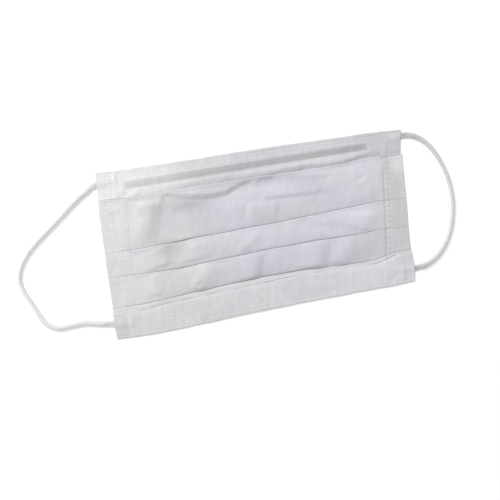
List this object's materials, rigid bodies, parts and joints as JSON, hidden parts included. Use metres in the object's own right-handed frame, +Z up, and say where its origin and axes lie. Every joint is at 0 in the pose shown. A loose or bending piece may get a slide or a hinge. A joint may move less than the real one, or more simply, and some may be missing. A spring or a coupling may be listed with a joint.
{
  "type": "surgical face mask",
  "caption": "Flat-folded surgical face mask with knife pleats, a folded nose hem holding a wire, a chin hem, pressed side bands and round elastic ear loops.",
  "frame": {"origin": "middle of the folded mask's footprint, on the surface that it lies on, without the ear loops", "axes": "+X across the face along the width, +Y towards the nose edge, +Z up out of the outer face"},
  "size_m": [0.2532, 0.0913, 0.0046],
  "materials": {
    "nonwoven": "smooth spunbond nonwoven, white with a slight cool tint",
    "hem_nonwoven": "embossed spunbond nonwoven, white",
    "welded_band": "ultrasonically welded nonwoven with rows of dots, white",
    "wire": "plastic-coated flat wire, grey",
    "elastic": "round knitted elastic, white"
  },
  "bodies": {
    "root": {"pleated_panel": "nonwoven", "nose_hem": "hem_nonwoven", "chin_hem": "hem_nonwoven", "side_band_left": "welded_band", "side_band_right": "welded_band", "nose_wire": "wire", "ear_loop_left": "elastic", "ear_loop_right": "elastic"}
  },
  "joints": []
}
